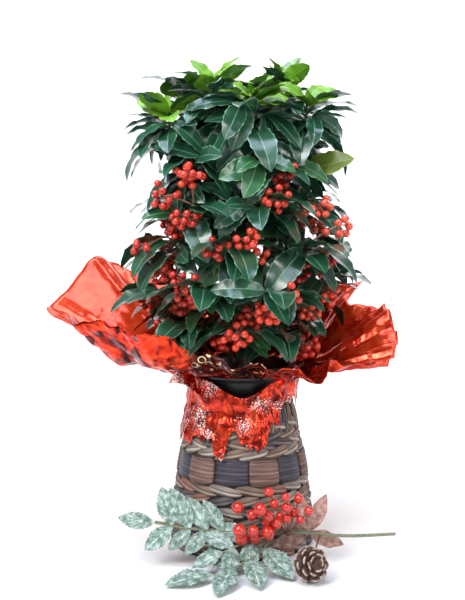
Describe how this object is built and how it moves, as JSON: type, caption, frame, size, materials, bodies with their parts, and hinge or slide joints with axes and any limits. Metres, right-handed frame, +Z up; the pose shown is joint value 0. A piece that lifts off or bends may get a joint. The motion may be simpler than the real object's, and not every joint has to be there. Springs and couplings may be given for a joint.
{
  "type": "potted shrub",
  "caption": "Potted coral berry shrub with glossy leaves and red fruit, in a bell-shaped woven basket with a ruffled film collar and a winter pick at its foot.",
  "frame": {"origin": "centre of the flat underside of the woven basket", "axes": "+Z up through the basket, the pot and the plant; -Y to the front, where the pick leans and the film dips; +X to the right seen from the front"},
  "size_m": [0.4131, 0.3534, 0.5677],
  "materials": {
    "woven_strand": "dry woven plant strand, grey-brown",
    "pot_plastic": "thin black moulded plastic",
    "peat": "moist crumbly peat",
    "film": "metallised red wrapping film, creased",
    "bark": "smooth grey-brown bark",
    "foliage": "glossy dark green leaf",
    "foliage_with_fruit": "glossy dark green leaf with orange-red fruit",
    "wrapped_wire": "paper-wrapped wire stem",
    "frosted_leaf": "printed fabric leaf with a pale frost",
    "lacquered_berry": "red lacquer",
    "gauze": "brown translucent gauze",
    "cone_scale": "dry cone scales with pale tips"
  },
  "bodies": {
    "root": {"basket": "woven_strand", "bough_back": "bark", "bough_front": "bark", "bough_left": "bark", "bough_left_back": "bark", "bough_right": "bark", "bough_right_back": "bark", "bough_right_top": "bark", "crown_back": "foliage", "crown_centre": "foliage", "crown_front": "foliage", "crown_left": "foliage", "crown_left_back": "foliage", "crown_right": "foliage", "crown_right_back": "foliage", "crown_right_top": "foliage", "film_apron": "film", "film_collar": "film", "nursery_pot": "pot_plastic", "pick_berries": "lacquered_berry", "pick_leaves_lower": "frosted_leaf", "pick_leaves_upper": "frosted_leaf", "pick_petals": "gauze", "pick_stem": "wrapped_wire", "pine_cone": "cone_scale", "soil": "peat", "spray_a_1": "foliage_with_fruit", "spray_a_2": "foliage_with_fruit", "spray_a_3": "foliage_with_fruit", "spray_a_4": "foliage_with_fruit", "spray_a_5": "foliage_with_fruit", "spray_a_6": "foliage_with_fruit", "spray_b_1": "foliage_with_fruit", "spray_b_2": "foliage_with_fruit", "spray_b_3": "foliage_with_fruit", "spray_b_4": "foliage_with_fruit", "spray_b_5": "foliage_with_fruit", "spray_b_6": "foliage_with_fruit", "spray_c_1": "foliage_with_fruit", "spray_c_2": "foliage_with_fruit", "spray_c_3": "foliage_with_fruit", "spray_c_4": "foliage_with_fruit", "spray_c_5": "foliage_with_fruit", "spray_c_6": "foliage_with_fruit", "spray_d_1": "foliage_with_fruit", "spray_d_2": "foliage_with_fruit", "spray_d_3": "foliage_with_fruit", "spray_d_4": "foliage_with_fruit", "spray_d_5": "foliage_with_fruit", "spray_d_6": "foliage_with_fruit", "spray_e_1": "foliage_with_fruit", "spray_e_2": "foliage_with_fruit", "spray_e_3": "foliage_with_fruit", "spray_e_4": "foliage_with_fruit", "trunk": "bark"}
  },
  "joints": []
}
